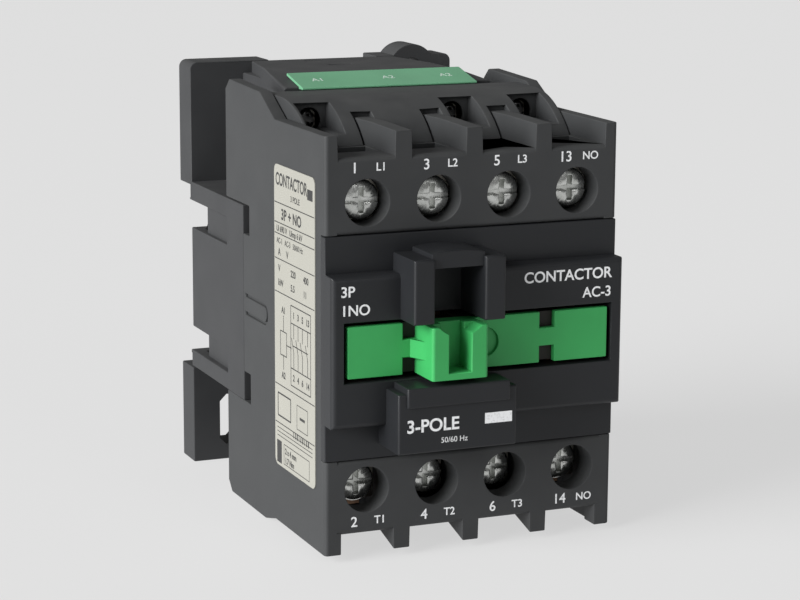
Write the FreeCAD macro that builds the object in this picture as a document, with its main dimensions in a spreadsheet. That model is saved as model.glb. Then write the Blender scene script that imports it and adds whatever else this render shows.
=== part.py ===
import FreeCAD, Part
import os
import Sketcher

# A three-pole rail contactor with one auxiliary pole, in millimetres.
# Origin: middle of the front face of the mounting rail. +X right, +Z up, the front looks along -Y.

os.makedirs("parts", exist_ok=True)
doc = FreeCAD.newDocument("contactor")
Vector = FreeCAD.Vector

# ---------------------------------------------------------------- driving dimensions

SIZES = {
    "width": 56.0,
    "polePitch": 13.4,
    "blockHeight": 13.4,
    "coverHeight": 40.0,
    "frontDepth": 75.0,
    "earDepth": 6.0,
    "wall": 2.4,
    "crestHeight": 42.4,
    "footDrop": 38.4,
    "wingReach": 3.4,
    "towerReach": 9.6,
    "stroke": 5.4,
    "contactGap": 3.8,
    "wellRadius": 4.1,
    "railWidth": 35.0,
    "fixingX": 19.5,
    "lugHoleZ": 39.8,
    "slotX": 20.0,
    "slotZ": 30.1,
}

sheet = doc.addObject("Spreadsheet::Sheet", "Dims")
for row, (alias, value) in enumerate(SIZES.items(), 1):
    sheet.set(f"A{row}", alias)
    sheet.set(f"B{row}", str(value))
    sheet.setAlias(f"B{row}", alias)
doc.recompute()


class Length:
    """A length that carries its value and the sheet expression that drives it."""

    def __init__(self, value, text):
        self.value = value
        self.text = text

    def __neg__(self):
        return Length(-self.value, f"(-{self.text})")

    def __add__(self, other):
        other = length(other)
        return Length(self.value + other.value, f"({self.text} + {other.text})")

    def __sub__(self, other):
        other = length(other)
        return Length(self.value - other.value, f"({self.text} - {other.text})")

    def __mul__(self, factor):
        return Length(self.value * factor, f"({self.text} * {factor})")

    def __truediv__(self, divisor):
        return Length(self.value / divisor, f"({self.text} / {divisor})")

    def __radd__(self, other):
        return length(other) + self

    def __rsub__(self, other):
        return length(other) - self


def length(item):
    if isinstance(item, Length):
        return item
    return Length(float(item), f"({round(float(item), 4)})")


def driving(alias):
    return Length(float(sheet.get(alias)), f"Dims.{alias}")


# ---------------------------------------------------------------- building blocks

AXIS_TURNS = {
    "x": FreeCAD.Rotation(Vector(0, 1, 0), 90),
    "y": FreeCAD.Rotation(Vector(1, 0, 0), -90),
    "z": FreeCAD.Rotation(),
}


def bind(item, path, amount):
    item.setExpression(path, length(amount).text)


def moveTo(item, corner):
    for axis, amount in zip("xyz", corner):
        bind(item, f"Placement.Base.{axis}", amount)


def box(xs, ys, zs):
    """A box from three (low, high) pairs."""
    item = doc.addObject("Part::Box", "box")
    for side, (low, high) in zip(("Length", "Width", "Height"), (xs, ys, zs)):
        bind(item, side, length(high) - low)
    moveTo(item, (xs[0], ys[0], zs[0]))
    return item


def rod(axis, start, radius, run):
    """A cylinder that starts at a point and runs along a positive axis."""
    item = doc.addObject("Part::Cylinder", "rod")
    item.Placement = FreeCAD.Placement(Vector(), AXIS_TURNS[axis])
    bind(item, "Radius", radius)
    bind(item, "Height", run)
    moveTo(item, start)
    return item


def joined(*items):
    if len(items) == 1:
        return items[0]
    item = doc.addObject("Part::MultiFuse", "joined")
    item.Shapes = list(items)
    item.Refine = True
    return item


def trimmed(base, *tools):
    item = doc.addObject("Part::Cut", "trimmed")
    item.Base = base
    item.Tool = joined(*tools)
    item.Refine = True
    return item


def shared(first, second):
    item = doc.addObject("Part::Common", "shared")
    item.Base = first
    item.Tool = second
    return item


def originPlane(body, role):
    return next(item for item in body.Origin.OriginFeatures if item.Role == role)


def outlineSketch(body, role, points):
    """A closed outline of straight lines, each corner held by its two distances from the origin."""
    sketch = body.newObject("Sketcher::SketchObject", "outline")
    sketch.AttachmentSupport = (originPlane(body, role), [""])
    sketch.MapMode = "FlatFace"
    corners = [tuple(length(amount) for amount in point) for point in points]
    places = [Vector(across.value, up.value, 0) for across, up in corners]
    count = len(places)
    for index in range(count):
        sketch.addGeometry(Part.LineSegment(places[index], places[(index + 1) % count]), False)
    for index in range(count):
        sketch.addConstraint(Sketcher.Constraint("Coincident", index, 2, (index + 1) % count, 1))
    for index, (across, up) in enumerate(corners):
        for kind, amount in (("DistanceX", across), ("DistanceY", up)):
            number = sketch.addConstraint(Sketcher.Constraint(kind, -1, 1, index, 1, amount.value))
            sketch.setExpression(f"Constraints[{number}]", amount.text)
    return sketch


def prism(role, points, start, run):
    """A padded outline: role YZ_Plane runs along +X, XZ_Plane along -Y and XY_Plane along +Z."""
    body = doc.addObject("PartDesign::Body", "prism")
    sketch = outlineSketch(body, role, points)
    sketch.setExpression("AttachmentOffset.Base.z", length(start).text)
    pad = body.newObject("PartDesign::Pad", "pad")
    pad.Profile = sketch
    pad.setExpression("Length", length(run).text)
    return body


def turned(points, place):
    """A profile of (radius, along Y) corners spun about the Y direction through a place."""
    body = doc.addObject("PartDesign::Body", "turned")
    sketch = outlineSketch(body, "XY_Plane", points)
    spin = body.newObject("PartDesign::Revolution", "spin")
    spin.Profile = sketch
    spin.ReferenceAxis = (sketch, ["V_Axis"])
    spin.Angle = 360
    moveTo(body, place)
    return body


def rounded(item, radius, picks):
    """Fillets the straight edges that the pick function chooses by its two end points."""
    doc.recompute()
    chosen = []
    for number, edge in enumerate(item.Shape.Edges, 1):
        if len(edge.Vertexes) == 2 and picks(edge.Vertexes[0].Point, edge.Vertexes[1].Point):
            chosen.append((number, radius, radius))
    fillet = doc.addObject("Part::Fillet", "rounded")
    fillet.Base = item
    fillet.Edges = chosen
    return fillet


def coil(axis, start, radius, wire, run, turns):
    """A helical spring: a wire swept along a helix, set along an axis from its starting point."""
    helix = Part.makeHelix(run / turns, run, radius)
    ring = Part.Wire(Part.makeCircle(wire, Vector(radius, 0, 0), Vector(0, 1, 0)))
    spring = doc.addObject("Part::Feature", "coil")
    spring.Shape = Part.Wire(helix.Edges).makePipeShell([ring], True, True)
    spring.Placement = FreeCAD.Placement(Vector(*start), AXIS_TURNS[axis])
    return spring


parts = []


def keep(label, item):
    item.Label = label
    parts.append(item)
    return item


def both(low, high, side):
    """A (low, high) pair on the plus side, or its mirror image on the minus side."""
    if side > 0:
        return (low, high)
    return (-length(high), -length(low))


# ---------------------------------------------------------------- shared places

half = driving("width") / 2
wall = driving("wall")
inside = half - wall
pitch = driving("polePitch")
stroke = driving("stroke")
front = -driving("frontDepth")
rear = driving("earDepth")
crest = driving("crestHeight")
foot = -driving("footDrop")
blockBase = driving("coverHeight") / 2
blockTop = blockBase + driving("blockHeight")
screwHeight = blockTop - driving("blockHeight") * 0.59
wellRadius = driving("wellRadius")
wingFace = front - driving("wingReach")
towerFace = front - driving("towerReach")
railEdge = driving("railWidth") / 2
fixingX = driving("fixingX")
lugHoleZ = driving("lugHoleZ")
slotX = driving("slotX")
slotZ = driving("slotZ")

POLES = {"1": pitch * -1.5, "2": pitch * -0.5, "3": pitch * 0.5, "4": pitch * 1.5}
TERMINALS = {"line": 1, "load": -1}
FINS = (pitch * -1, length(0), pitch)
COIL_WELLS = {"left": -21.4, "centre": 6.7, "right": 20.6}

finHalf = 1.55
finTop = blockTop + 4.3
finBack = -55.0
chamberBack = front + 13.5
stripFace = chamberBack
stripBack = stripFace + 1.4
blockBack = -58.0
partitionBack = -56.0
chamberHalf = 5.0
magnetFront = -32.4
seatHalf = 15.9
seatProud = 0.4
earFront = -1.2
capHalf = 21.0
capTop = crest + 0.2
assemblyX = 23.4
assemblyZ = 7.1
postSpan = (4.6, 9.6)
housingRear = -22.7
tongueTop = 19.4
tongueBase = -18.4
actuatorX = POLES["2"]
screwRadius = 2.0
headRadius = 3.6
headThick = 2.4
HEAD_FRONTS = {"line": front + 3.0, "load": front + 5.2}
clampThick = 1.3
runningGap = 0.05


# ---------------------------------------------------------------- front housing

def sideWall(start):
    """One end wall, stepped up at the back and cut out for the base's side tongue."""
    outline = [
        (front, foot + 1.4),
        (-49.5, foot + 1.4),
        (-44.0, foot),
        (housingRear - 2.0, foot),
        (housingRear, foot + 2.0),
        (housingRear, tongueBase),
        (magnetFront, tongueBase),
        (magnetFront, tongueTop),
        (housingRear, tongueTop),
        (housingRear, crest - 2.4),
        (housingRear - 2.3, crest - 0.4),
        (-42.0, crest - 1.0),
        (-49.9, crest - 5.1),
        (front, crest - 5.1),
    ]
    body = prism("YZ_Plane", outline, start, wall)
    return rounded(body, 0.8, outerCorner)


def outerCorner(first, second):
    """True for an edge along the vertical corner between a side and the front."""
    return all(abs(abs(end.x) - half.value) < 0.01 and abs(end.y - front.value) < 0.01 for end in (first, second))


def ahead(limit):
    """Picks the edges that lie wholly in front of a plane."""
    return lambda first, second: first.y < limit.value and second.y < limit.value


def latchGroove(hand):
    """Shallow rounded outline of the side latch."""
    depth = both(half - 0.5, half + 1, hand)
    outer = [box(depth, (-43.8, magnetFront - 1), (-1.5, 2.5)), rod("x", (depth[0], -43.8, 0.5), 2.0, 1.5)]
    inner = [box(depth, (-43.8, magnetFront), (-0.9, 1.9)), rod("x", (depth[0], -43.8, 0.5), 1.4, 1.5)]
    return trimmed(joined(*outer), joined(*inner))


def fin(centre, side):
    """A barrier fin between two terminals; the lower ones are cut away towards the back."""
    top = finTop if side > 0 else blockTop + 3.6
    backTop = finTop if side > 0 else blockTop + 0.4
    outline = [
        (front, (blockTop - 1) * side),
        (front, top * side),
        (front + 12.0, (backTop + 0.2) * side),
        (finBack, backTop * side),
        (finBack, (blockTop - 1) * side),
    ]
    return prism("YZ_Plane", outline, centre - finHalf, finHalf * 2)


def terminalCuts(centre, side):
    """Screw well, clamp chamber, wire entry, strip slot and shaft clearance of one terminal."""
    height = screwHeight * side
    chamber = (centre - chamberHalf, centre + chamberHalf)
    return [
        rod("y", (centre, front - 1, height), wellRadius, 7),
        box(chamber, (front + 5, chamberBack), both(blockBase + 1.2, blockTop - 1.8, side)),
        box(chamber, (front + 7, chamberBack), both(blockTop - 3, blockTop + 1, side)),
        box((centre - 4.0, centre + 4.0), (chamberBack, stripBack), both(blockBase - 1, blockTop - 1.2, side)),
        rod("y", (centre, stripBack - 1, height), 2.3, 8),
    ]


def frontHousing():
    shell = [sideWall(-half), sideWall(inside)]
    for side in (1, -1):
        block = box((-half, half), (front, blockBack), both(blockBase, blockTop, side))
        shell.append(rounded(block, 0.8, outerCorner))
        shell.append(box((-inside, inside), (blockBack, -36.2), both(blockTop - 1.4, blockTop, side)))
        shell += [fin(centre, side) for centre in FINS]
        for hand in (1, -1):
            shell.append(box(both(21.4, inside, hand), (partitionBack, magnetFront), both(*postSpan, side)))
    for hand in (1, -1):
        shell.append(box(both(inside - 0.7, inside + 0.1, hand), (front, front + 4), (foot + 1.4, -blockTop + 0.5)))
    shell.append(box((-inside, inside), (blockBack, partitionBack), (-blockTop, blockTop)))
    tools = [
        box((-half - 1, -inside), (front - 1, front + 2), (-blockBase, blockBase)),
        box((inside, half + 1), (front - 1, front + 2), (-blockBase, blockBase)),
        box((-21.0, 21.0), (blockBack - 1, partitionBack + 1), (-5.0, 5.0)),
        latchGroove(1),
        latchGroove(-1),
    ]
    for hand in (1, -1):
        across = both(inside - 0.5, half + 1, hand)
        tools.append(box(across, (magnetFront - 3.4, magnetFront + 1), (13.8, tongueTop)))
        tools.append(box(across, (magnetFront - 3.6, magnetFront + 1), (tongueBase, -12.7)))
    for centre in POLES.values():
        for side in (1, -1):
            tools += terminalCuts(centre, side)
    for centre in COIL_WELLS.values():
        tools.append(box((centre - 2.1, centre + 2.1), (-44.6, -42.6), (blockTop - 2, blockTop + 1)))
    for hand in (1, -1):
        for side in (1, -1):
            tools.append(rod("y", (assemblyX * hand, -46, assemblyZ * side), 1.5, 14))
    return trimmed(joined(*shell), *tools)


# ---------------------------------------------------------------- middle cover

def middleCover():
    """Arc chamber cover: flush plate with barriers between the poles, raised wings, square U bracket and name panel."""
    plate = box((-half, half), (front, front + 2), (-blockBase + 0.1, blockBase - 0.1))
    wings = box((-half, half), (wingFace, front + 0.5), (-13.4, 13.4))
    wings = rounded(wings, 1.0, ahead(front - 1))
    postBase = 5.3
    postTop = 16.6
    solids = [plate, wings]
    for centre in FINS:
        for side in (1, -1):
            solids.append(box((centre - 0.8, centre + 0.8), (front + 1.5, blockBack - 0.05), both(6.4, blockBase - 0.1, side)))
    for low, high in ((-8.6, -4.7), (4.7, 8.6)):
        post = box((actuatorX + low, actuatorX + high), (towerFace, front + 0.5), (postBase, postTop))
        solids.append(rounded(post, 0.5, ahead(wingFace)))
    arch = shared(
        box((actuatorX - 5, actuatorX + 5), (towerFace + 0.9, front + 0.5), (14.8, 18.5)),
        rod("y", (actuatorX, towerFace, -10.0), 27.8, 12),
    )
    solids.append(arch)
    panel = box((actuatorX - 11.2, actuatorX + 11.2), (towerFace + 0.6, front + 0.5), (-17.4, -6.7))
    ledge = box((actuatorX - 9.7, actuatorX + 9.7), (towerFace, front + 0.5), (-9.2, -5.6))
    for item in (panel, ledge):
        solids.append(rounded(item, 0.4, ahead(wingFace)))
    slot = box((-25.7, 25.7), (towerFace - 1, front + 3), (-5.3, 5.3))
    channel = box((actuatorX - 4.7, actuatorX + 4.7), (wingFace - 1, front + 0.8), (5, 14.8))
    return trimmed(joined(*solids), slot, channel)


# ---------------------------------------------------------------- green indicator bar

def indicator():
    """Flag plates joined by necks to a hollow actuator block in front of the second pole."""
    back = wingFace + 1.6
    face = wingFace + 0.2
    plates = [
        box((-25.0, -14.7), (face, back), (-4.6, 4.6)),
        box((actuatorX + 4, 11.6), (face, back), (-4.6, 4.6)),
        box((14.5, 25.0), (face, back), (-4.6, 4.6)),
        box((11.0, 15.0), (face, back), (-1.6, 1.7)),
        box((-15.2, actuatorX - 4), (face, back), (-1.6, 1.7)),
    ]
    block = box((actuatorX - 5.3, actuatorX + 5.3), (towerFace - 0.2, back), (-4.7, 4.7))
    block = rounded(block, 0.6, lambda a, b: abs(a.z - b.z) > 5 and a.y < wingFace.value)
    neck = prism(
        "XY_Plane",
        [(-15.2, face), (-13.4, face), (actuatorX - 5, towerFace + 2.2), (actuatorX - 5, towerFace + 4.2),
         (-14.0, back), (-15.2, back)],
        -1.6,
        3.3,
    )
    window = box((actuatorX - 2.1, actuatorX + 2.1), (towerFace - 1, wingFace - 1.2), (-3.4, 6))
    scoop = rod("y", (actuatorX, towerFace - 1, 8.4), 5.4, 4.4)
    dimple = rod("y", (actuatorX + 7.6, face - 1, 0), 2.6, 1.7)
    return trimmed(joined(*plates, block, neck), window, scoop, dimple)


# ---------------------------------------------------------------- contact carrier

carrierFront = wingFace + 1.6
windowFront = carrierFront + 1.8
windowBack = front + 7.5
bridgeThick = 1.5
fixedTip = stripFace - 1.2
openTip = fixedTip - driving("contactGap")
saddleFront = -50.0
saddleBack = -46.0


def contactCarrier():
    """Crossbar with one window per pole, and the saddle that holds the moving core."""
    bar = box((-24.6, 24.6), (carrierFront, -64.2), (-4.4, 4.4))
    neck = box((-20.4, 20.4), (-64.6, saddleFront + 0.5), (-4.4, 4.4))
    saddle = box((-18, 18), (saddleFront, saddleBack), (-15, 15))
    cheeks = [box((-6, 6), (saddleBack - 0.5, -40.6), both(7.7, 10.2, side)) for side in (1, -1)]
    tools = [rod("z", (0, -43, -11), 1.5, 22)]
    for centre in POLES.values():
        tools.append(box((centre - 3.3, centre + 3.3), (windowFront, windowBack), (-5, 5)))
    return trimmed(joined(bar, neck, saddle, *cheeks), *tools)


def contactBridge(centre):
    """Copper strip with a silver button at each end."""
    strip = box((centre - 3.0, centre + 3.0), (windowBack - bridgeThick, windowBack), (-11.6, 11.6))
    strip = rounded(strip, 0.8, lambda a, b: abs(a.y - b.y) > 1)
    tips = [box((centre - 2.4, centre + 2.4), (windowBack, openTip), both(8.4, 11.4, side)) for side in (1, -1)]
    return joined(strip, *tips)


def fixedContact(centre, side):
    """Terminal strip threaded for its screw, with the silver tip at its inner end."""
    strip = box((centre - 3.9, centre + 3.9), (stripFace, stripBack), both(8.0, blockTop - 1.4, side))
    tip = box((centre - 2.6, centre + 2.6), (fixedTip, stripFace), both(8.6, 11.6, side))
    hole = rod("y", (centre, stripFace - 1, screwHeight * side), screwRadius + runningGap, 4)
    return trimmed(joined(strip, tip), hole)


def screw(radius, head, deep, shaft, place):
    """A pan-head terminal screw seen from the front: head first, then the shaft."""
    profile = [(0, 0.25), (head * 0.5, 0.0), (head - 0.35, 0.35), (head, 0.9), (head, deep), (radius, deep),
               (radius, deep + shaft - 0.6), (radius - 0.6, deep + shaft), (0, deep + shaft)]
    body = turned(profile, place)
    return body


def slotted(item, head, place):
    """Cuts the combined slot and cross recess into a screw head."""
    x, y, z = place
    blade = box((x - head, x + head), (y - 0.5, y + 1.3), (z - 0.45, z + 0.45))
    cross = box((x - 0.45, x + 0.45), (y - 0.5, y + 1.3), (z - head * 0.62, z + head * 0.62))
    return trimmed(item, blade, cross)


def clampWasher(centre, height, halfWide, halfTall, start, thick, hole):
    """Square captive washer."""
    plate = box((centre - halfWide, centre + halfWide), (start, start + thick), (height - halfTall, height + halfTall))
    plate = rounded(plate, 0.7, lambda a, b: abs(a.y - b.y) > 0.5)
    return trimmed(plate, rod("y", (centre, start - 1, height), hole, thick + 2))


# ---------------------------------------------------------------- coil cover and its terminals

coverRadius = 19.7
coverCrown = crest - 1.6
coverRear = -38.2
pocketBack = -50.0
coilScrewHeight = coverCrown - 4.0
coilHead = 1.8
coilHeadFront = pocketBack + 1.0
coilHeadBack = coilHeadFront + 1.4
coilStripFace = -44.2


def coverSolid(inset):
    """Quarter-round front merging into a flat top, seen from the side."""
    reach = inside - 0.2 - inset
    round_ = shared(
        rod("x", (-reach, -46, coverCrown - coverRadius), coverRadius - inset, reach * 2),
        box((-reach, reach), (chamberBack + inset, -46), (blockTop - inset, coverCrown - inset)),
    )
    flat = box((-reach, reach), (-46.2, coverRear - inset), (blockTop - inset, coverCrown - inset))
    return joined(round_, flat)


def coilCover():
    pockets = []
    linings = []
    for centre in COIL_WELLS.values():
        pockets.append(box((centre - 3.3, centre + 3.3), (-70, pocketBack), (35.4, coverCrown - 0.7)))
        linings.append(box((centre - 4.3, centre + 4.3), (-60.0, pocketBack + 0.8), (34.4, coverCrown - 0.1)))
        pockets.append(rod("y", (centre, -60, coilScrewHeight), coilHead + 0.5, 12))
    body = trimmed(coverSolid(0), coverSolid(1.6))
    linings = shared(joined(*linings), coverSolid(0.05))
    notches = [box((centre - 1.9, centre + 1.9), (-70, finBack + 0.8), (blockTop - 1, finTop + 0.9))
               for centre in FINS]
    return trimmed(joined(body, linings), *pockets, *notches)


def coilTerminal(uprights, drop):
    """Flat strip from one or more screw positions down to the bobbin's front flange."""
    strips = []
    for centre in uprights:
        strips.append(box((centre - 1.8, centre + 1.8), (coilStripFace, coilStripFace + 0.8), (20, coverCrown - 1.7)))
    ends = [centre for centre in uprights] + [drop]
    strips.append(box((min(ends) - 1.8, max(ends) + 1.8), (coilStripFace, coilStripFace + 0.8), (20, 22.4)))
    strips.append(box((drop - 1, drop + 1), (coilStripFace, -33.3), (20, 20.8)))
    strips.append(box((drop - 1, drop + 1), (-34.1, -33.3), (13.4, 20.8)))
    holes = [rod("y", (centre, coilStripFace - 1, coilScrewHeight), 1.2 + runningGap, 3) for centre in uprights]
    return trimmed(joined(*strips), *holes)


# ---------------------------------------------------------------- magnet and coil

coreBack = -5.0
coreFace = -26.0
coreHalf = 21.0
stackHalf = 7.5
armatureFace = coreFace - stroke - 0.1


def coreOutline(face, yoke, back):
    """E shape in plan: a yoke and three legs."""
    return [(-coreHalf, back), (-coreHalf, face), (-15, face), (-15, yoke), (-5, yoke), (-5, face),
            (5, face), (5, yoke), (15, yoke), (15, face), (coreHalf, face), (coreHalf, back)]


def fixedCore():
    core = prism("XY_Plane", coreOutline(coreFace, -12.0, coreBack), -stackHalf, stackHalf * 2)
    grooves = [shadingRing(hand) for hand in (1, -1)]
    return trimmed(core, *grooves)


def shadingRing(hand):
    """Copper loop let into the pole face round two thirds of an outer leg."""
    centre = 18 * hand
    outer = box((centre - 3.0, centre + 3.0), (coreFace, coreFace + 1.4), (-2.0, stackHalf))
    inner = box((centre - 1.8, centre + 1.8), (coreFace - 1, coreFace + 2), (-0.8, stackHalf - 1.2))
    return trimmed(outer, inner)


def movingCore():
    back = armatureFace - 14.4
    core = prism("XY_Plane", coreOutline(armatureFace, armatureFace - 7.5, back), -stackHalf, stackHalf * 2)
    return trimmed(core, rod("z", (0, -43, -stackHalf - 1), 1.5, stackHalf * 2 + 2))


bobbinBack = -12.2
bobbinFront = -33.2


def coilBobbin():
    tube = box((-6.4, 6.4), (bobbinFront, bobbinBack), (-8.9, 8.9))
    flanges = [
        box((-14.4, 14.4), (bobbinFront, bobbinFront + 1.4), (-16.2, 16.2)),
        box((-14.4, 14.4), (bobbinBack - 1.4, bobbinBack), (-16.2, 16.2)),
    ]
    return trimmed(joined(tube, *flanges), box((-5.3, 5.3), (-40, -5), (-7.8, 7.8)))


def coilWinding():
    outer = box((-13.2, 13.2), (bobbinFront + 1.5, bobbinBack - 1.5), (-15.2, 15.2))
    outer = rounded(outer, 2.5, lambda a, b: abs(a.y - b.y) > 5)
    return trimmed(outer, box((-6.4, 6.4), (-40, -5), (-8.9, 8.9)))


# ---------------------------------------------------------------- base

def ear(xs, zs):
    return box(xs, (earFront, rear), zs)


def topCorner(first, second):
    """True for an outer edge of an ear's top corner."""
    return min(first.z, second.z) > lugHoleZ.value and min(abs(first.x), abs(second.x)) > inside.value


def towerCap():
    """Roof of the coil tower: sloped at both sides and the front, narrower towards the rail."""
    eaves = crest - 2.9
    hips = [(-capHalf, eaves), (capHalf, eaves), (capHalf, crest - 1.5), (capHalf - 3.7, capTop),
            (-capHalf + 3.7, capTop), (-capHalf, crest - 1.5)]
    plan = [(-capHalf, -36), (capHalf, -36), (capHalf - 6, -0.5), (-capHalf + 6, -0.5)]
    slope = [(-36, eaves - 1), (-36, crest - 1.25), (-29.6, capTop), (-0.5, capTop), (-0.5, eaves - 1)]
    roof = shared(prism("XZ_Plane", hips, 0.5, 35.5), prism("XY_Plane", plan, eaves - 1, 6))
    return shared(roof, prism("YZ_Plane", slope, -capHalf - 1, capHalf * 2 + 2))


def baseHousing():
    """Magnet housing with side tongues, coil tower, ears, feet, rail seat and clip guide."""
    solids = [
        box((-half, half), (magnetFront, -seatProud), (tongueBase, tongueTop - 0.3)),
        box((-half, half), (-1, 0), (-seatHalf, seatHalf)),
        box((-17, 17), (-36, -0.5), (foot + 1.2, crest - 2.0)),
        towerCap(),
        rounded(ear((-half, -11.5), (railEdge + 0.9, crest + 0.4)), 1.5, topCorner),
        rounded(ear((11.5, half), (railEdge + 0.9, crest + 0.4)), 1.5, topCorner),
        ear((-12, 12), (railEdge + 0.9, railEdge + 7)),
        ear((-half, -12), (foot, -railEdge - 1.3)),
        ear((12, half), (foot + 8, -railEdge - 1.3)),
        box((-22, 22), (1.3, 4.0), (railEdge - 1.4, railEdge + 2)),
        rod("y", (fixingX, earFront, lugHoleZ), 5.1, rear - earFront),
    ]
    solids += [box(both(7.5, 9.4, hand), (4.6, rear), (foot + 1, -railEdge - 1.3)) for hand in (1, -1)]
    solids += [box(both(9.4, 12.5, hand), (-1, rear), (foot + 1, -railEdge - 1.3)) for hand in (1, -1)]
    solids.append(box((-2.2, 2.2), (-1, 4.2), (foot + 1, foot + 3.6)))
    tools = [
        box((-inside, inside), (-37, -3), (tongueBase + 1.8, tongueTop - 2.5)),
        box((-15, 15), (-37, -3), (foot + 3.2, crest - 2.2)),
        rod("y", (fixingX, -10, lugHoleZ), 2.25, 30),
        slotCut(),
        box((-3.2, 1.8), (-13.2, -12.0), (crest - 0.8, crest + 1)),
        box((-5.0, -1.0), (-4.4, -3.4), (crest - 0.8, crest + 1)),
    ]
    for hand in (1, -1):
        tools.append(box(both(half - 0.4, half + 1, hand), (housingRear, 1), (-15.1, 15.4)))
        for low, high in ((9.8, 15.4), (-15.1, -10.4)):
            tools.append(box(both(half - 1.2, half + 1, hand), (housingRear, 1), (low, high)))
            tools.append(box(both(24, half + 1, hand), (-7.5, 1), (low, high)))
    core = trimmed(joined(*solids), *tools)
    posts = [box(both(21.4, inside + 0.2, hand), (magnetFront, -2.5), both(*postSpan, side))
             for hand in (1, -1) for side in (1, -1)]
    holes = []
    for hand in (1, -1):
        for side in (1, -1):
            holes.append(rod("y", (assemblyX * hand, -40, assemblyZ * side), 1.5, 45))
            holes.append(rod("y", (assemblyX * hand, -2.2, assemblyZ * side), 2.5, 5))
    return trimmed(joined(core, *posts), *holes)


def slotCut():
    """Mounting slot with sloped ends, cut through the foot."""
    reach = 5.2
    wide = 2.4
    ramp = 1.4
    outline = [(-slotX - wide, -slotZ - reach + ramp), (-slotX - wide + ramp, -slotZ - reach),
               (-slotX + wide - ramp, -slotZ - reach), (-slotX + wide, -slotZ - reach + ramp),
               (-slotX + wide, -slotZ + reach - ramp), (-slotX + wide - ramp, -slotZ + reach),
               (-slotX - wide + ramp, -slotZ + reach), (-slotX - wide, -slotZ + reach - ramp)]
    return prism("XZ_Plane", outline, -12, 30)


def railClip():
    """Sliding hook with a window for its spring and a slotted pull tab."""
    plate = box((-9.2, 9.2), (1.2, 4.3), (foot + 0.4, -railEdge + 1.3))
    window = box((-2.6, 2.6), (0, 5), (foot + 0.9, -24))
    pry = box((4.4, 7.4), (0, 5), (foot + 1.6, foot + 3.4))
    return trimmed(plate, window, pry)


# ---------------------------------------------------------------- trim

def markerStrip():
    """Thin sloped plate bridging from the coil cover to the tower's roof."""
    seat = coverCrown + 0.05
    outline = [(coverRear, seat), (-36.05, seat), (-36.05, crest - 1.2), (-29.6, capTop + 0.05),
               (-29.6, capTop + 0.6), (coverRear, seat + 0.4)]
    return prism("YZ_Plane", outline, -18.2, 35.4)


def sideLabel():
    plate = box((-half - 0.15, -half), (front + 4.4, front + 24.9), (-26.0, 29.5))
    return rounded(plate, 1.4, lambda a, b: abs(a.x - b.x) > 0.1)


def assemblyScrews():
    """Four identical screws that hold the base to the front housing."""
    shapes = []
    for hand in (1, -1):
        for side in (1, -1):
            across, up = assemblyX * hand, assemblyZ * side
            head = rod("y", (across, -2.2, up), 2.2, 1.8)
            shaft = rod("y", (across, -45, up), 1.45, 43)
            drive = box((across - 1.8, across + 1.8), (-1.3, 1), (up - 0.4, up + 0.4))
            shapes.append(trimmed(joined(head, shaft), drive))
    group = doc.addObject("Part::Compound", "assemblyScrews")
    group.Links = shapes
    return group


# ---------------------------------------------------------------- assembly

keep("front_housing", frontHousing())
keep("middle_cover", middleCover())
keep("indicator_bar", indicator())
keep("contact_carrier", contactCarrier())
keep("base_housing", baseHousing())
keep("rail_clip", railClip())
clipStop = foot.value + 3.6
clipShoulder = -24.0
keep("rail_clip_spring", coil("z", (0, 2.75, clipStop + 0.35), 1.2, 0.3, clipShoulder - clipStop - 0.7, 7))
keep("fixed_core", fixedCore())
rings = doc.addObject("Part::Compound", "rings")
rings.Links = [shadingRing(1), shadingRing(-1)]
keep("shading_rings", rings)
keep("core_pad", box((-20, 20), (coreBack, -3), (-7, 7)))
keep("moving_core", movingCore())
keep("core_pin", rod("z", (0, -43, -10.2), 1.5, 20.4))
keep("coil_bobbin", coilBobbin())
keep("coil_winding", coilWinding())
keep("coil_terminal_a1", coilTerminal([COIL_WELLS["left"]], -12.6))
keep("coil_terminal_a2", coilTerminal([COIL_WELLS["centre"], COIL_WELLS["right"]], 12.6))
keep("coil_cover", coilCover())
keep("marker_strip", markerStrip())
keep("side_label", sideLabel())
keep("assembly_screws", assemblyScrews())
for name, side in (("upper", 1), ("lower", -1)):
    keep(f"return_spring_{name}", coil("y", (0, saddleBack + 0.35, 12.7 * side), 1.8, 0.3, bobbinFront - saddleBack - 0.7, 6))
for pole, centre in POLES.items():
    keep(f"contact_bridge_{pole}", contactBridge(centre))
    run = (windowBack - bridgeThick - windowFront).value
    keep(f"contact_spring_{pole}", coil("y", (centre.value, windowFront.value + 0.3, 0), 1.8, 0.25, run - 0.6, 5))
    for name, side in TERMINALS.items():
        height = screwHeight * side
        keep(f"{name}_contact_{pole}", fixedContact(centre, side))
        headFront = HEAD_FRONTS[name]
        keep(f"{name}_clamp_{pole}",
             clampWasher(centre, height, 4.2, 3.7, headFront + headThick, clampThick, screwRadius + runningGap))
        place = (centre, headFront, height)
        blank = screw(screwRadius, headRadius, headThick, 11.2, place)
        keep(f"{name}_screw_{pole}", slotted(blank, headRadius, place))
for name, centre in COIL_WELLS.items():
    place = (centre, coilHeadFront, coilScrewHeight)
    blank = screw(1.2, coilHead, 1.4, 5.4, place)
    keep(f"coil_screw_{name}", slotted(blank, coilHead, place))
    keep(f"coil_clamp_{name}",
         clampWasher(length(centre), coilScrewHeight, 2.0, 1.6, length(coilHeadBack), 0.7, 1.2 + runningGap))

doc.recompute()
for item in doc.Objects:
    if "Invalid" in item.State or "Error" in item.State:
        raise RuntimeError(f"{item.Name} ({item.Label}) failed: {item.State}")
for item in parts:
    if item.Shape.isNull() or not item.Shape.isValid():
        raise RuntimeError(f"{item.Label} has no valid shape")
for item in parts:
    item.Shape.exportStep(f"parts/{item.Label}.step")
    print(item.Label, len(item.Shape.Solids), round(item.Shape.Volume, 1))
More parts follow.
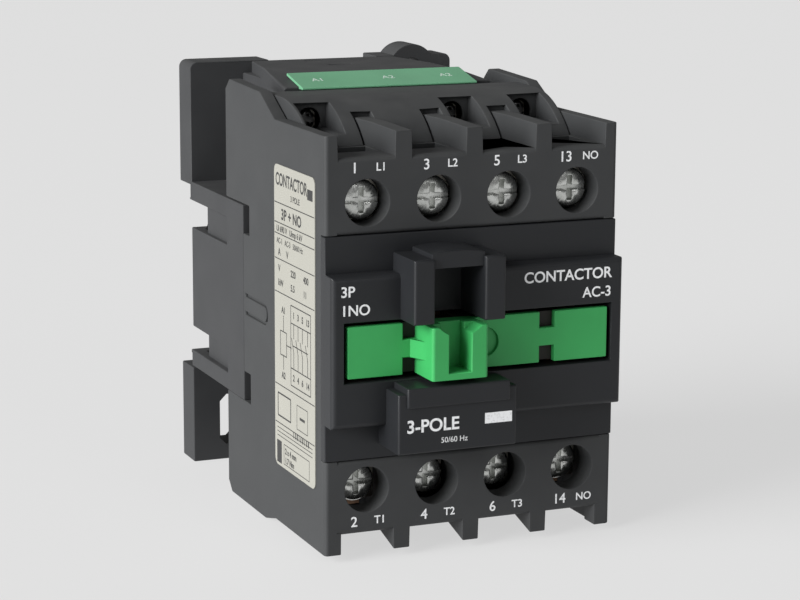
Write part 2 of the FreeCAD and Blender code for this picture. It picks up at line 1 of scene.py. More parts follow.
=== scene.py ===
import bpy
import bmesh
import math
from mathutils import Matrix, Vector


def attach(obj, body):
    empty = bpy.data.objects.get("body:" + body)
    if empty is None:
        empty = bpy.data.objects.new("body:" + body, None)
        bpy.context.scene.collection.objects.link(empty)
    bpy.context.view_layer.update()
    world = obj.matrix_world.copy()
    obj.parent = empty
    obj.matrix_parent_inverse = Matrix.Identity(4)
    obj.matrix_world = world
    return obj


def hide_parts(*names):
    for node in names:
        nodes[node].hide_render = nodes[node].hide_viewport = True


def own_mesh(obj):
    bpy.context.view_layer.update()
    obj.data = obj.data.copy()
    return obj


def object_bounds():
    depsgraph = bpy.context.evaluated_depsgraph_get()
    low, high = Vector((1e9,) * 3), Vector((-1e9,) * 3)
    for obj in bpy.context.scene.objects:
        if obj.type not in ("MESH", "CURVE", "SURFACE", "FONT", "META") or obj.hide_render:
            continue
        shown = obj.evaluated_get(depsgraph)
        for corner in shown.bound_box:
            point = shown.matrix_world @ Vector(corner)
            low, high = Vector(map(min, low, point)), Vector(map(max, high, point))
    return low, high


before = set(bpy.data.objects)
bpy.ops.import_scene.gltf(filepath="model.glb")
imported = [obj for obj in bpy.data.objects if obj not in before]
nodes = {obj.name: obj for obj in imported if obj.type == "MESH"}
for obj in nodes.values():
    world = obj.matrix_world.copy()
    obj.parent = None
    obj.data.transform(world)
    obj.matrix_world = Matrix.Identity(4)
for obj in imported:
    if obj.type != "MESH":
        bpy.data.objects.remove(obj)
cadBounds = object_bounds()
scene = bpy.context.scene
mm = 0.001
poles = {"1": -20.1, "2": -6.7, "3": 6.7, "4": 20.1}
print("frame loaded:", len(nodes), "nodes")


# how fine and how strong the shared surface effects are, scales per metre
effects = {
    "grainDetail": 4.0,
    "patchScale": 90.0,
    "patchDetail": 5.0,
    "dustScale": 160.0,
    "dustDetail": 6.0,
    "dustOnSides": 0.35,
    "streakDetail": 3.0,
    "streakStretch": (1.0, 1.0, 0.12),
    "streakShare": 0.6,
    "blotchScale": 420.0,
    "blotchDetail": 5.0,
}


# shader groups that several finishes share
def shaderGroup(name, inputs, outputs):
    group = bpy.data.node_groups.new(name, "ShaderNodeTree")
    for label, kind, value in inputs:
        socket = group.interface.new_socket(label, in_out="INPUT", socket_type=kind)
        socket.default_value = value
    for label, kind in outputs:
        group.interface.new_socket(label, in_out="OUTPUT", socket_type=kind)
    start = group.nodes.new("NodeGroupInput")
    end = group.nodes.new("NodeGroupOutput")
    return group, start, end


def mathNode(tree, operation, first, second=None):
    node = tree.nodes.new("ShaderNodeMath")
    node.operation = operation
    for socket, value in zip(node.inputs, (first, second)):
        if value is None:
            continue
        if isinstance(value, (int, float)):
            socket.default_value = value
        else:
            tree.links.new(value, socket)
    return node.outputs[0]


def noiseNode(tree, place, scale, detail=3.0, stretch=None):
    if stretch:
        mapping = tree.nodes.new("ShaderNodeMapping")
        mapping.inputs["Scale"].default_value = stretch
        tree.links.new(place, mapping.inputs["Vector"])
        place = mapping.outputs["Vector"]
    noise = tree.nodes.new("ShaderNodeTexNoise")
    noise.inputs["Detail"].default_value = detail
    tree.links.new(place, noise.inputs["Vector"])
    if isinstance(scale, (int, float)):
        noise.inputs["Scale"].default_value = scale
    else:
        tree.links.new(scale, noise.inputs["Scale"])
    return noise.outputs["Fac"]


def objectPlace(tree):
    return tree.nodes.new("ShaderNodeTexCoord").outputs["Object"]


def makeMouldGrain():
    # spark-eroded grain with slow flow patches under it
    group, start, end = shaderGroup(
        "mouldGrain",
        [("Grain Scale", "NodeSocketFloat", 5000.0), ("Base Roughness", "NodeSocketFloat", 0.5),
         ("Roughness Spread", "NodeSocketFloat", 0.1)],
        [("Height", "NodeSocketFloat"), ("Roughness", "NodeSocketFloat"), ("Patch", "NodeSocketFloat")],
    )
    place = objectPlace(group)
    grain = noiseNode(group, place, start.outputs["Grain Scale"], effects["grainDetail"])
    patch = noiseNode(group, place, effects["patchScale"], effects["patchDetail"])
    spread = mathNode(group, "MULTIPLY", mathNode(group, "SUBTRACT", patch, 0.5), start.outputs["Roughness Spread"])
    rough = mathNode(group, "ADD", start.outputs["Base Roughness"], spread)
    group.links.new(grain, end.inputs["Height"])
    group.links.new(rough, end.inputs["Roughness"])
    group.links.new(patch, end.inputs["Patch"])
    return group


def makeDustAndTopLight():
    # thin pale dust film with painted top light: thicker on faces that look up, so their tops read paler as if lit
    # from above
    group, start, end = shaderGroup(
        "dustAndTopLight",
        [("Colour", "NodeSocketColor", (0.1, 0.1, 0.1, 1)), ("Dust And Top Light Colour", "NodeSocketColor", (0.5, 0.5, 0.48, 1)),
         ("Amount", "NodeSocketFloat", 0.05)],
        [("Colour", "NodeSocketColor")],
    )
    place = objectPlace(group)
    cloud = noiseNode(group, place, effects["dustScale"], effects["dustDetail"])
    geometry = group.nodes.new("ShaderNodeNewGeometry")
    split = group.nodes.new("ShaderNodeSeparateXYZ")
    group.links.new(geometry.outputs["Normal"], split.inputs[0])
    # painted top light: faces that look up get more of the pale film; every face also gets the dustOnSides share of
    # it
    dustAndTopLightMask = mathNode(group, "ADD", mathNode(group, "MAXIMUM", split.outputs["Z"], 0.0), effects["dustOnSides"])
    dustAndTopLightLayer = mathNode(group, "MULTIPLY", mathNode(group, "MULTIPLY", cloud, dustAndTopLightMask), start.outputs["Amount"])
    mix = group.nodes.new("ShaderNodeMix")
    mix.data_type = "RGBA"
    group.links.new(dustAndTopLightLayer, mix.inputs["Factor"])
    group.links.new(start.outputs["Colour"], mix.inputs["A"])
    group.links.new(start.outputs["Dust And Top Light Colour"], mix.inputs["B"])
    group.links.new(mix.outputs["Result"], end.inputs["Colour"])
    return group


def makeMetalHaze():
    # drawn streaks and blotches on plated metal
    group, start, end = shaderGroup(
        "metalHaze",
        [("Streak Scale", "NodeSocketFloat", 2500.0), ("Base Roughness", "NodeSocketFloat", 0.3),
         ("Streak Depth", "NodeSocketFloat", 0.15)],
        [("Height", "NodeSocketFloat"), ("Roughness", "NodeSocketFloat"), ("Blotch", "NodeSocketFloat")],
    )
    place = objectPlace(group)
    streakShare = effects["streakShare"]
    streak = noiseNode(group, place, start.outputs["Streak Scale"], effects["streakDetail"], effects["streakStretch"])
    blotch = noiseNode(group, place, effects["blotchScale"], effects["blotchDetail"])
    streakPart = mathNode(group, "MULTIPLY", streak, streakShare)
    blotchPart = mathNode(group, "MULTIPLY", blotch, 1 - streakShare)
    both = mathNode(group, "ADD", streakPart, blotchPart)
    centred = mathNode(group, "MULTIPLY", mathNode(group, "SUBTRACT", both, 0.5), start.outputs["Streak Depth"])
    rough = mathNode(group, "ADD", start.outputs["Base Roughness"], centred)
    group.links.new(streak, end.inputs["Height"])
    group.links.new(rough, end.inputs["Roughness"])
    group.links.new(blotch, end.inputs["Blotch"])
    return group


mouldGrain = makeMouldGrain()
dustAndTopLight = makeDustAndTopLight()
metalHaze = makeMetalHaze()


# finishes; relief is the height in metres that a bump stands for
relief = {"plastic": 0.00004, "metal": 0.00002, "paper": 0.00002}


def newMaterial(name):
    material = bpy.data.materials.new(name)
    material.use_nodes = True
    tree = material.node_tree
    return material, tree, tree.nodes["Principled BSDF"]


def useGroup(tree, group, **values):
    node = tree.nodes.new("ShaderNodeGroup")
    node.node_tree = group
    for label, value in values.items():
        node.inputs[label.replace("_", " ")].default_value = value
    return node


def colourRamp(tree, factor, stops):
    ramp = tree.nodes.new("ShaderNodeValToRGB")
    for index, (where, colour) in enumerate(stops):
        if index > 1:
            ramp.color_ramp.elements.new(where)
        ramp.color_ramp.elements[index].position = where
        ramp.color_ramp.elements[index].color = (*colour, 1)
    tree.links.new(factor, ramp.inputs[0])
    return ramp.outputs["Color"]


def bumped(tree, shader, height, strength, distance):
    bump = tree.nodes.new("ShaderNodeBump")
    bump.inputs["Strength"].default_value = strength
    bump.inputs["Distance"].default_value = distance
    tree.links.new(height, bump.inputs["Height"])
    tree.links.new(bump.outputs["Normal"], shader.inputs["Normal"])


def shaded(colour, factor):
    return tuple(channel * factor for channel in colour)


def mouldedPlastic(name, colour, roughness, grain=5000.0, depth=0.5, spread=0.12, dustAndTopLightAmount=0.05, specular=0.3):
    material, tree, shader = newMaterial(name)
    surface = useGroup(tree, mouldGrain, Grain_Scale=grain, Base_Roughness=roughness, Roughness_Spread=spread)
    tint = colourRamp(tree, surface.outputs["Patch"], [(0.3, shaded(colour, 0.93)), (0.7, shaded(colour, 1.07))])
    # pale dust film that also paints top light: faces that look up are made paler
    dustAndTopLightLayer = useGroup(tree, dustAndTopLight, Amount=dustAndTopLightAmount)
    tree.links.new(tint, dustAndTopLightLayer.inputs["Colour"])
    tree.links.new(dustAndTopLightLayer.outputs["Colour"], shader.inputs["Base Color"])
    tree.links.new(surface.outputs["Roughness"], shader.inputs["Roughness"])
    bumped(tree, shader, surface.outputs["Height"], depth, relief["plastic"])
    shader.inputs["Specular IOR Level"].default_value = specular
    return material


def platedMetal(name, colour, dull, roughness, streak=2500.0, depth=0.25):
    material, tree, shader = newMaterial(name)
    surface = useGroup(tree, metalHaze, Streak_Scale=streak, Base_Roughness=roughness, Streak_Depth=0.25)
    tint = colourRamp(tree, surface.outputs["Blotch"], [(0.35, dull), (0.62, colour)])
    tree.links.new(tint, shader.inputs["Base Color"])
    tree.links.new(surface.outputs["Roughness"], shader.inputs["Roughness"])
    bumped(tree, shader, surface.outputs["Height"], depth, relief["metal"])
    shader.inputs["Metallic"].default_value = 1.0
    return material


def stripedMetal(name, direction, pitch, light, dark, roughness, metallic):
    # sheet edges or turns of wire, one dark line between each pair
    material, tree, shader = newMaterial(name)
    wave = tree.nodes.new("ShaderNodeTexWave")
    wave.bands_direction = direction
    wave.inputs["Scale"].default_value = 2 * math.pi / (20 * pitch)
    tree.links.new(objectPlace(tree), wave.inputs["Vector"])
    tint = colourRamp(tree, wave.outputs["Fac"], [(0.06, dark), (0.35, light)])
    surface = useGroup(tree, metalHaze, Streak_Scale=1500.0, Base_Roughness=roughness, Streak_Depth=0.3)
    tree.links.new(tint, shader.inputs["Base Color"])
    tree.links.new(surface.outputs["Roughness"], shader.inputs["Roughness"])
    bumped(tree, shader, wave.outputs["Fac"], 0.8, pitch * 0.25)
    shader.inputs["Metallic"].default_value = metallic
    return material


def labelPaper(name, colour):
    material, tree, shader = newMaterial(name)
    place = objectPlace(tree)
    fibre = noiseNode(tree, place, 1400.0, 6.0, (1.0, 0.4, 1.0))
    cloud = noiseNode(tree, place, 60.0, 3.0)
    tint = colourRamp(tree, cloud, [(0.3, shaded(colour, 0.95)), (0.7, colour)])
    tree.links.new(tint, shader.inputs["Base Color"])
    rough = mathNode(tree, "ADD", mathNode(tree, "MULTIPLY", fibre, 0.2), 0.42)
    tree.links.new(rough, shader.inputs["Roughness"])
    bumped(tree, shader, fibre, 0.35, relief["paper"])
    return material


def printInk(name, colour, roughness):
    # pad print, a little thin in places
    material, tree, shader = newMaterial(name)
    place = objectPlace(tree)
    thin = noiseNode(tree, place, 2600.0, 4.0)
    tint = colourRamp(tree, thin, [(0.28, shaded(colour, 0.72)), (0.5, colour)])
    tree.links.new(tint, shader.inputs["Base Color"])
    rough = mathNode(tree, "ADD", mathNode(tree, "MULTIPLY", thin, 0.2), roughness)
    tree.links.new(rough, shader.inputs["Roughness"])
    return material


# the dust amount of each plastic also sets its painted top light, how much paler the faces that look up are made
finishes = {
    "housing": mouldedPlastic("housingPlastic", (0.031, 0.0325, 0.034), 0.58, dustAndTopLightAmount=0.06),
    "base": mouldedPlastic("basePlastic", (0.029, 0.030, 0.032), 0.60, dustAndTopLightAmount=0.06),
    "cover": mouldedPlastic("coverPlastic", (0.013, 0.014, 0.016), 0.44, grain=7000.0, depth=0.3, dustAndTopLightAmount=0.01),
    "clip": mouldedPlastic("clipPlastic", (0.030, 0.031, 0.033), 0.5),
    "green": mouldedPlastic("flagGreen", (0.038, 0.330, 0.090), 0.42, grain=7000.0, depth=0.25, dustAndTopLightAmount=0.01),
    "marker": mouldedPlastic("markerGreen", (0.135, 0.360, 0.205), 0.4, grain=7000.0, depth=0.25, dustAndTopLightAmount=0.04),
    "carrier": mouldedPlastic("carrierThermoset", (0.020, 0.018, 0.016), 0.62, grain=3500.0, dustAndTopLightAmount=0.01),
    "bobbin": mouldedPlastic("bobbinNylon", (0.66, 0.63, 0.55), 0.48, dustAndTopLightAmount=0.01),
    "pad": mouldedPlastic("padRubber", (0.018, 0.018, 0.018), 0.8, grain=2500.0, depth=0.8),
    "screw": platedMetal("screwZinc", (0.66, 0.67, 0.65), (0.44, 0.45, 0.43), 0.26),
    # coil screws: dark grey, painted shade of the deep wells they sit in
    "wellShadeScrew": platedMetal("screwPaintedWellShade", (0.16, 0.16, 0.16), (0.09, 0.09, 0.09), 0.35),
    "washer": platedMetal("washerZinc", (0.62, 0.60, 0.54), (0.42, 0.40, 0.35), 0.36, 1800.0),
    "spring": platedMetal("springWire", (0.56, 0.56, 0.56), (0.40, 0.40, 0.41), 0.3, 3000.0),
    "copper": platedMetal("contactCopper", (0.80, 0.46, 0.29), (0.60, 0.32, 0.20), 0.32, 1800.0),
    "dullCopper": platedMetal("stripCopper", (0.34, 0.22, 0.15), (0.20, 0.12, 0.08), 0.45, 1800.0),
    "brass": platedMetal("stripBrass", (0.80, 0.70, 0.44), (0.62, 0.52, 0.30), 0.3, 1800.0),
    "lamination": stripedMetal("laminatedSteel", "Z", 0.0005, (0.42, 0.43, 0.45), (0.08, 0.08, 0.09), 0.38, 1.0),
    "winding": stripedMetal("windingWire", "Y", 0.0003, (0.50, 0.20, 0.08), (0.12, 0.04, 0.02), 0.35, 0.6),
    "paper": labelPaper("labelPaper", (0.300, 0.295, 0.260)),
    "blackInk": printInk("labelInk", (0.02, 0.02, 0.02), 0.4),
    "whiteInk": printInk("markingInk", (0.80, 0.81, 0.82), 0.4),
    "paleInk": printInk("stripInk", (0.55, 0.68, 0.60), 0.4),
}
print("finishes made:", len(finishes))


# mouldings: the solids with their edges rounded as a mould leaves them
mouldings = {
    "front_housing": dict(finish="housing", slot="housing_black", body="housing", edge=0.22),
    "base_housing": dict(finish="base", slot="base_grey", body="housing", edge=0.22),
    "middle_cover": dict(finish="cover", slot="cover_black", body="housing", edge=0.20),
    "coil_cover": dict(finish="housing", slot="housing_black", body="housing", edge=0.20),
    "marker_strip": dict(finish="marker", slot="marker_green", body="housing", edge=0.15),
    "indicator_bar": dict(finish="green", slot="indicator_green", body="carrier", edge=0.22),
    "rail_clip": dict(finish="clip", slot="clip_grey", body="clip", edge=0.20),
}


# angles in degrees: flat faces are joined, corners rounded, and what stays sharper is shaded as an edge
rounding = {"weld": 1e-6, "flat": 0.5, "corner": 30, "sharp": 40, "segments": 2}


def roundedCopy(node, edge):
    bm = bmesh.new()
    bm.from_mesh(nodes[node].data)
    bmesh.ops.remove_doubles(bm, verts=bm.verts, dist=rounding["weld"])
    bmesh.ops.dissolve_limit(bm, angle_limit=math.radians(rounding["flat"]), verts=bm.verts, edges=bm.edges)
    cornerAngle = math.radians(rounding["corner"])
    corners = [line for line in bm.edges
               if line.is_manifold and line.is_convex and line.calc_face_angle() > cornerAngle]
    bmesh.ops.bevel(bm, geom=corners, offset=edge * mm, offset_type="OFFSET", segments=rounding["segments"],
                    profile=0.5, affect="EDGES", clamp_overlap=False, material=-1)
    for face in bm.faces:
        face.smooth = True
    sharpAngle = math.radians(rounding["sharp"])
    for line in bm.edges:
        line.smooth = not line.is_manifold or line.calc_face_angle() < sharpAngle
    return bm


def addPiece(name, bm, finish, body, replaced=()):
    mesh = bpy.data.meshes.new(name)
    bm.to_mesh(mesh)
    bm.free()
    mesh.materials.clear()
    mesh.materials.append(finishes[finish])
    piece = bpy.data.objects.new(name, mesh)
    scene.collection.objects.link(piece)
    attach(piece, body)
    if replaced:
        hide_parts(*replaced)
    return piece


def evenShading(piece):
    even = piece.modifiers.new("evenShading", "WEIGHTED_NORMAL")
    even.keep_sharp = True
    even.weight = 60


for node, look in mouldings.items():
    skin = roundedCopy(node, look["edge"])
    evenShading(addPiece(node + "_skin", skin, look["finish"], look["body"], [node]))
print("mouldings rounded:", len(mouldings))


# terminal screws and their square washers
hardware = {
    "line": dict(places=list(poles), edge=0.10, finish="screw"),
    "load": dict(places=list(poles), edge=0.10, finish="screw"),
    # coil screws take the darkened finish, painted shade of their wells
    "coil": dict(places=["left", "centre", "right"], edge=0.07, finish="wellShadeScrew"),
}
for row, look in hardware.items():
    for end in look["places"]:
        for part, finish, slot in (("screw", look["finish"], "plated_steel"), ("clamp", "washer", "washer_steel")):
            node = f"{row}_{part}_{end}"
            plated = roundedCopy(node, look["edge"])
            evenShading(addPiece(node + "_plated", plated, finish, f"{row}_{end}_{part}", [node]))
print("screws and washers rounded")


# solids whose shape is right as it is
keptSolids = {
    "carrier": ["contact_carrier"],
    "bobbin": ["coil_bobbin"],
    "pad": ["core_pad"],
    "lamination": ["fixed_core", "moving_core"],
    "winding": ["coil_winding"],
    "copper": ["shading_rings"] + [f"contact_bridge_{pole}" for pole in poles],
    "dullCopper": [f"{row}_contact_{pole}" for row in ("line", "load") for pole in poles],
    "brass": ["coil_terminal_a1", "coil_terminal_a2"],
    "screw": ["core_pin", "assembly_screws"],
    "paper": ["side_label"],
}
for finish, names in keptSolids.items():
    for name in names:
        slots = nodes[name].data.materials
        slots.clear()
        slots.append(finishes[finish])
print("solids finished:", sum(len(names) for names in keptSolids.values()))

# spring wires; each entry gives body, joint, axis, seat (in metres) and keep, the share of length left at full
# travel; only body is read here, and the springs do not shorten as their joint moves
returnSpring = dict(body="housing", joint="carrier_slide", axis=(0, 1, 0), seat=(0, -0.0333, 0), keep=0.57)
contactSpring = dict(body="carrier", joint="carrier_slide", axis=(0, 1, 0), seat=(0, -0.075, 0), keep=0.72)
springs = {
    "return_spring_upper": returnSpring,
    "return_spring_lower": returnSpring,
    "rail_clip_spring": dict(body="housing", joint="clip_slide", axis=(0, 0, 1), seat=(0, 0, -0.0347), keep=0.71),
    **{f"contact_spring_{pole}": contactSpring for pole in poles},
}
for node, look in springs.items():
    wire = bmesh.new()
    wire.from_mesh(nodes[node].data)
    bmesh.ops.remove_doubles(wire, verts=wire.verts, dist=rounding["weld"])
    for face in wire.faces:
        face.smooth = True
    piece = addPiece(node + "_wire", wire, "spring", look["body"], [node])
    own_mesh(piece)
print("springs wound:", len(springs))


# printed marks
facings = {
    "front": Matrix.Rotation(math.radians(90), 4, "X"),
    "left": Matrix.Rotation(math.radians(-90), 4, "Z") @ Matrix.Rotation(math.radians(90), 4, "X"),
    "slope": Matrix.Rotation(math.atan2(1.95, 8.6), 4, "X"),  # rise and run of the marker strip
}
inkThickness = 0.01
inkLift = 0.012
capHeight = 0.729  # of the built-in letters, as a share of their size


def addWords(bm, words, height, place, facing, align="CENTER", weight=0.0, squeeze=1.0):
    # place is the middle of the words' left, centre or right side, in millimetres
    curve = bpy.data.curves.new("words", "FONT")
    curve.body = words
    curve.align_x = align
    curve.size = height / capHeight
    curve.offset = weight
    curve.extrude = inkThickness / 2
    holder = bpy.data.objects.new("words", curve)
    mesh = bpy.data.meshes.new_from_object(holder)
    shift = Matrix.Translation(Vector((0, -height / 2, inkLift)))
    slim = Matrix.Diagonal((squeeze, 1, 1, 1))
    mesh.transform(Matrix.Scale(mm, 4) @ Matrix.Translation(Vector(place)) @ facings[facing] @ slim @ shift)
    bm.from_mesh(mesh)
    bpy.data.meshes.remove(mesh)
    bpy.data.objects.remove(holder)
    bpy.data.curves.remove(curve)


def addBar(bm, width, height, place, facing, turn=0.0):
    made = bmesh.ops.create_cube(bm, size=1.0)["verts"]
    size = Matrix.Diagonal((width, height, inkThickness, 1))
    shift = Matrix.Translation(Vector((0, 0, inkLift)))
    turned = Matrix.Rotation(math.radians(turn), 4, "Z")
    whole = Matrix.Scale(mm, 4) @ Matrix.Translation(Vector(place)) @ facings[facing] @ shift @ turned @ size
    bmesh.ops.transform(bm, matrix=whole, verts=made)


terminalMarks = {
    "frontY": -75.0,
    "lineZ": 31.7,
    "loadZ": -31.1,
    "line": (("1", "L1"), ("3", "L2"), ("5", "L3"), ("13", "NO")),
    "load": (("2", "T1"), ("4", "T2"), ("6", "T3"), ("14", "NO")),
    "digitShift": -2.4,
    "letterShift": 2.5,
    "digitHeight": 1.9,
    "letterHeight": 1.45,
    "weight": 0.03,
}
marks = bmesh.new()
for row in ("line", "load"):
    for across, (digit, letters) in zip(poles.values(), terminalMarks[row]):
        height = terminalMarks[row + "Z"]
        for words, shift, tall in ((digit, "digitShift", "digitHeight"), (letters, "letterShift", "letterHeight")):
            place = (across + terminalMarks[shift], terminalMarks["frontY"], height)
            addWords(marks, words, terminalMarks[tall], place, "front", weight=terminalMarks["weight"])
addPiece("terminal_marks", marks, "whiteInk", "housing")

# words, height, the place of one of their sides or their middle, which of these it is, and weight
coverMarks = {
    "words": (
        ("3P", 1.9, (-26.4, -78.4, 10.9), "LEFT", 0.04),
        ("1NO", 1.9, (-26.4, -78.4, 7.6), "LEFT", 0.04),
        ("CONTACTOR", 2.0, (25.6, -78.4, 11.0), "RIGHT", 0.05),
        ("AC-3", 1.9, (25.6, -78.4, 7.6), "RIGHT", 0.04),
        ("3-POLE", 2.3, (-16.4, -84.0, -12.4), "LEFT", 0.07),
        ("50/60 Hz", 1.0, (-7.4, -84.0, -15.3), "CENTER", 0.0),
    ),
    "bar": dict(width=5.2, height=1.9, place=(1.0, -84.0, -12.2)),
}
marks = bmesh.new()
for words, height, place, align, weight in coverMarks["words"]:
    addWords(marks, words, height, place, "front", align, weight)
addBar(marks, **coverMarks["bar"], facing="front")
addPiece("cover_marks", marks, "whiteInk", "housing")
print("front marks printed")


# rating label on the left side
labelPrint = {
    "faceX": -28.15,
    "backY": -50.1,
    "wide": 20.5,
    "rule": 0.18,
    "rulesZ": (22.6, 19.0, 17.0, 12.4, 6.3, -10.8, -18.0),
}
marks = bmesh.new()


def onLabel(across, up):
    return (labelPrint["faceX"], labelPrint["backY"] - across, up)


def labelWords(words, height, across, up, align="LEFT", weight=0.0, squeeze=1.0):
    addWords(marks, words, height, onLabel(across, up), "left", align, weight, squeeze)


def labelBar(width, height, across, up, turn=0.0):
    addBar(marks, width, height, onLabel(across, up), "left", turn)


def labelFrame(low, high, bottom, top, line):
    for up in (bottom, top):
        labelBar(high - low, line, (low + high) / 2, up)
    for across in (low, high):
        labelBar(line, top - bottom, across, (bottom + top) / 2)


for up in labelPrint["rulesZ"]:
    labelBar(labelPrint["wide"] - 0.4, labelPrint["rule"], labelPrint["wide"] / 2, up)
labelBar(2.6, 1.9, 18.2, 26.2)

# words, height, across, up, weight and squeeze of the lines above the circuit
labelLines = (
    ("CONTACTOR", 2.3, 0.8, 27.0, 0.06, 0.8),
    ("3 POLE", 1.1, 8.4, 24.2, 0.02, 1.0),
    ("3P + NO", 2.0, 3.6, 20.8, 0.07, 1.0),
    ("Ui 690 V   Uimp 6 kV", 1.15, 1.2, 18.0, 0.03, 0.95),
    ("AC-1   AC-3   50/60 Hz", 1.05, 1.2, 15.8, 0.02, 0.95),
    ("A      V", 1.3, 2.0, 13.8, 0.04, 1.0),
)
for words, height, across, up, weight, squeeze in labelLines:
    labelWords(words, height, across, up, "LEFT", weight, squeeze)
ratings = {"low": 2.0, "step": 6.4, "height": 1.25, "rows": ((10.8, ("V", "220", "400")), (8.2, ("kW", "5.5", "11")))}
for up, row in ratings["rows"]:
    for column, words in enumerate(row):
        labelWords(words, ratings["height"], ratings["low"] + column * ratings["step"], up, weight=0.04)

# circuit block: coil at the back, four contacts, their terminals named above and below
line = 0.2
circuit = {
    "frame": (8.4, 18.4, -9.6, 5.0),
    "fieldsZ": (1.8, -6.4),
    "columns": (9.9, 12.1, 14.3, 16.9),
    "above": ("1", "3", "5", "13"),
    "below": ("2", "4", "6", "14"),
    "aboveZ": 3.4,
    "belowZ": -8.0,
    "leads": ((2.6, 0.4), (3.0, -4.8)),  # length and middle height
    "blade": dict(height=2.9, up=-2.2, turn=24),
    "bladeShift": -0.55,
    "link": dict(width=7.6, across=13.2, up=-2.2),
    "coilFrame": (3.0, 6.2, -5.0, -0.6),
    "coilLeads": ((3.0, 0.9), (2.6, -6.3)),
    "coilLink": dict(width=2.6, across=7.4, up=-2.8),
    "coilAcross": 4.6,
    "coilNames": (("A1", 3.4), ("A2", -8.6)),
    "wordHeight": 1.2,
    "wordWeight": 0.05,
}
low, high, _, _ = circuit["frame"]
labelFrame(*circuit["frame"], line)
for up in circuit["fieldsZ"]:
    labelBar(high - low, line, (low + high) / 2, up)
for across, above, below in zip(circuit["columns"], circuit["above"], circuit["below"]):
    labelWords(above, circuit["wordHeight"], across, circuit["aboveZ"], "CENTER", circuit["wordWeight"])
    labelWords(below, circuit["wordHeight"], across, circuit["belowZ"], "CENTER", circuit["wordWeight"])
    for length, up in circuit["leads"]:
        labelBar(line, length, across, up)
    labelBar(line, across=across + circuit["bladeShift"], **circuit["blade"])
labelBar(height=line, **circuit["link"])
labelFrame(*circuit["coilFrame"], line)
for length, up in circuit["coilLeads"]:
    labelBar(line, length, circuit["coilAcross"], up)
labelBar(height=line, **circuit["coilLink"])
for words, up in circuit["coilNames"]:
    labelWords(words, circuit["wordHeight"], circuit["coilAcross"], up, "CENTER", circuit["wordWeight"])

# lower fields: plain boxes, code stripes and a dark patch
labelFrame(1.6, 8.2, -16.6, -12.4, 0.3)
labelFrame(11.4, 16.8, -17.0, -12.6, 0.14)
labelBar(2.6, 0.5, 14.1, -14.8)
stripes = {"count": 3, "width": 18.0, "height": 0.14, "across": 10.2, "topZ": -18.9, "step": 0.75}
for step in range(stripes["count"]):
    labelBar(stripes["width"], stripes["height"], stripes["across"], stripes["topZ"] - step * stripes["step"])
code = {"count": 9, "thin": 0.22, "thicker": 0.12, "height": 1.1, "across": 9.6, "step": 0.95, "z": -18.6}
for step in range(code["count"]):
    thick = code["thin"] + code["thicker"] * (step % 3)
    labelBar(thick, code["height"], code["across"] + step * code["step"], code["z"])
labelBar(2.4, 4.2, 2.2, -23.4)
labelFrame(4.6, 17.6, -25.2, -21.5, 0.14)
for words, up in (("2 x 4 mm", -22.6), ("1.7 Nm", -24.3)):
    labelWords(words, 1.1, 5.2, up, weight=0.05)
addPiece("label_print", marks, "blackInk", "housing")

stripMarks = {"places": ((-13.6, "A1"), (0.6, "A2"), (12.4, "A2")), "y": -33.9, "z": 42.225, "height": 1.6}
marks = bmesh.new()
for across, words in stripMarks["places"]:
    place = (across, stripMarks["y"], stripMarks["z"])
    addWords(marks, words, stripMarks["height"], place, "slope", weight=0.02)
addPiece("strip_marks", marks, "paleInk", "housing")
print("label and strip printed")


# studio
def aimed(obj, place, target):
    obj.location = place
    obj.rotation_euler = (Vector(target) - Vector(place)).to_track_quat("-Z", "Y").to_euler()


studio = {
    "floorSize": 8.0,
    "floorCloud": 3.0,
    "floorColour": (0.17, 0.17, 0.17),
    "skyColour": (1.0, 1.0, 1.0),
    "floorGlow": 0.60,
    "skyStrength": 0.20,
    "sunStrength": 5.2,
    "sunSpread": 40,
    "sunFrom": (-0.92, -0.16, 0.35),
    "lampTarget": (0, -0.03, 0),
}
floorMesh = bpy.data.meshes.new("floor")
bm = bmesh.new()
bmesh.ops.create_grid(bm, x_segments=1, y_segments=1, size=studio["floorSize"] / 2)
bmesh.ops.translate(bm, verts=bm.verts, vec=(0, 0, cadBounds[0].z))
bm.to_mesh(floorMesh)
bm.free()
floorMaterial, floorTree, floorShader = newMaterial("paleFloor")
floorTint = colourRamp(floorTree, noiseNode(floorTree, objectPlace(floorTree), studio["floorCloud"]),
                       [(0.3, shaded(studio["floorColour"], 0.99)), (0.7, studio["floorColour"])])
floorTree.links.new(floorTint, floorShader.inputs["Base Color"])
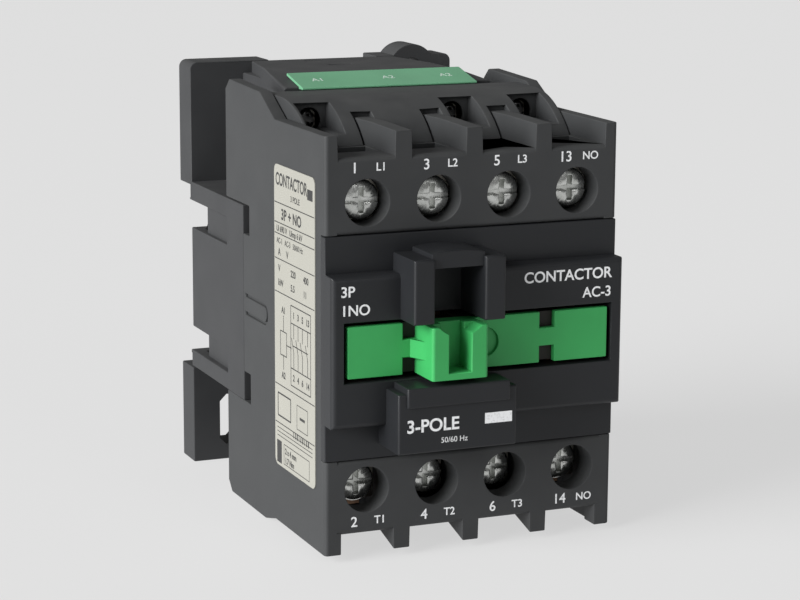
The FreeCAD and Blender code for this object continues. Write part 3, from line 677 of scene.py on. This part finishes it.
floorShader.inputs["Roughness"].default_value = 0.9
floorShader.inputs["Specular IOR Level"].default_value = 0.0
floorShader.inputs["Emission Color"].default_value = (1.0, 1.0, 1.0, 1.0)
floorShader.inputs["Emission Strength"].default_value = studio["floorGlow"]
floorMesh.materials.append(floorMaterial)
floor = bpy.data.objects.new("floor", floorMesh)
scene.collection.objects.link(floor)

world = bpy.data.worlds.new("studioSky")
world.use_nodes = True
sky = world.node_tree.nodes["Background"]
sky.inputs["Color"].default_value = (*studio["skyColour"], 1)
sky.inputs["Strength"].default_value = studio["skyStrength"]
scene.world = world

sun = bpy.data.lights.new("keySun", "SUN")
sun.energy = studio["sunStrength"]
sun.angle = math.radians(studio["sunSpread"])
sunObject = bpy.data.objects.new("keySun", sun)
scene.collection.objects.link(sunObject)
aimed(sunObject, studio["sunFrom"], (0, 0, 0))

panels = {
    "frontPanel": dict(place=(0.25, -1.10, 0.62), size=0.30, power=1.0),
    "leftPanel": dict(place=(-1.00, -0.55, 0.35), size=0.45, power=3.0),
}
for name, look in panels.items():
    lamp = bpy.data.lights.new(name, "AREA")
    lamp.size = look["size"]
    lamp.energy = look["power"]
    lampObject = bpy.data.objects.new(name, lamp)
    scene.collection.objects.link(lampObject)
    aimed(lampObject, look["place"], studio["lampTarget"])

shot = {"place": (-172.85, -452.0, 90.82), "yaw": 22.85, "pitch": 11.44, "roll": -0.31, "lens": 108.0, "sensor": 36.0}
camera = bpy.data.cameras.new("camera")
camera.lens = shot["lens"]
camera.sensor_width = shot["sensor"]
camera.clip_start = 0.01
cameraObject = bpy.data.objects.new("camera", camera)
scene.collection.objects.link(cameraObject)
turn = (Matrix.Rotation(math.radians(-shot["yaw"]), 4, "Z")
        @ Matrix.Rotation(math.radians(90 - shot["pitch"]), 4, "X")
        @ Matrix.Rotation(math.radians(-shot["roll"]), 4, "Z"))
cameraObject.matrix_world = Matrix.Translation(Vector(shot["place"]) * mm) @ turn
scene.camera = cameraObject
scene.view_settings.view_transform = "Standard"
print("studio set")
